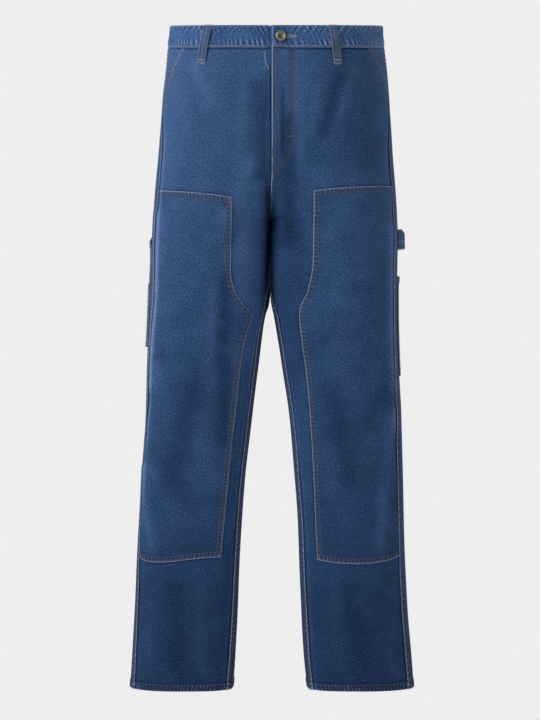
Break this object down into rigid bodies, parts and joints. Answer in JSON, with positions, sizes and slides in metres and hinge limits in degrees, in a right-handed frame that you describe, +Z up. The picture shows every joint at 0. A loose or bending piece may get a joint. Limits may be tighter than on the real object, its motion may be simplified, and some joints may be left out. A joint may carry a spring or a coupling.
{
  "type": "double-knee carpenter pants",
  "caption": "Loose denim carpenter pants with double-layer knees, slanted front pockets, tool pockets, a hammer loop and a buttoned waistband, filled out as if worn.",
  "frame": {"origin": "middle of the waist opening, halfway up the waistband, where the wearer's waist holds the garment", "axes": "+Z up along the body, -Y towards the front (fly), +X towards the wearer's left"},
  "size_m": [0.4545, 0.273, 1.0782],
  "materials": {
    "denim": "washed twill, matt",
    "patch_denim": "washed twill, matt",
    "loop_denim": "worn twill, matt",
    "button_metal": "antique, worn"
  },
  "bodies": {
    "root": {"waistband": "denim", "front_right": "denim", "front_left": "denim", "back_right": "denim", "back_left": "denim", "knee_patch_right": "patch_denim", "knee_patch_left": "patch_denim", "pocket_facing_right": "denim", "pocket_facing_left": "denim", "coin_pocket": "denim", "tool_pocket_right": "denim", "rule_pocket_right": "denim", "tool_pocket_left": "denim", "hammer_loop": "denim", "back_pocket_right": "denim", "back_pocket_left": "denim", "belt_loop_front_right": "loop_denim", "belt_loop_front_left": "loop_denim", "belt_loop_side_right": "loop_denim", "belt_loop_side_left": "loop_denim", "belt_loop_back": "loop_denim", "button": "button_metal"}
  },
  "joints": []
}
